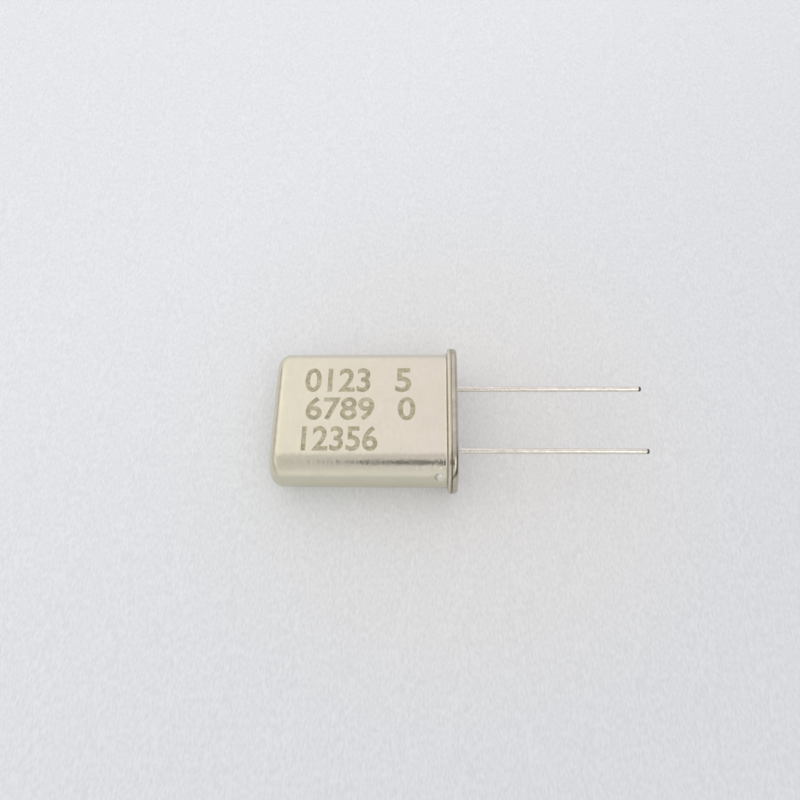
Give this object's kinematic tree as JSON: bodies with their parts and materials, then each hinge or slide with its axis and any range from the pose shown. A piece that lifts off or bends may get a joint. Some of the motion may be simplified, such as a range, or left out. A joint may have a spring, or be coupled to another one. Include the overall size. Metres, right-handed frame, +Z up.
{
  "type": "crystal resonator",
  "caption": "Quartz crystal resonator: oval welded metal can with a flange, glass-sealed header and wire leads, with the quartz plate on slotted springs inside.",
  "frame": {"origin": "middle of the bounding box, on the surface that the part lies on", "axes": "+X along the leads, from the closed end of the can to the lead tips; +Y across, from lead_1 to lead_2; +Z up, through the thickness"},
  "size_m": [0.0268, 0.011, 0.0047],
  "materials": {
    "can_plating": "satin nickel plate, warm, with a fine grain",
    "header_plating": "satin nickel plate, darkened along the weld",
    "lead_tin": "bright tin, slightly uneven, with dull cut ends",
    "seal_glass": "dark green-grey fused glass, glossy",
    "spring_metal": "rolled nickel strip",
    "quartz": "lapped quartz, clear with a slight haze",
    "electrode_film": "silver film",
    "conductive_cement": "silver-filled cement, dull"
  },
  "bodies": {
    "root": {"can": "can_plating", "header": "header_plating", "lead_1": "lead_tin", "lead_2": "lead_tin", "glass_seal_1": "seal_glass", "glass_seal_2": "seal_glass", "mount_1": "spring_metal", "mount_2": "spring_metal", "quartz_blank": "quartz", "electrode_front": "electrode_film", "electrode_back": "electrode_film", "cement_1": "conductive_cement", "cement_2": "conductive_cement"}
  },
  "joints": []
}
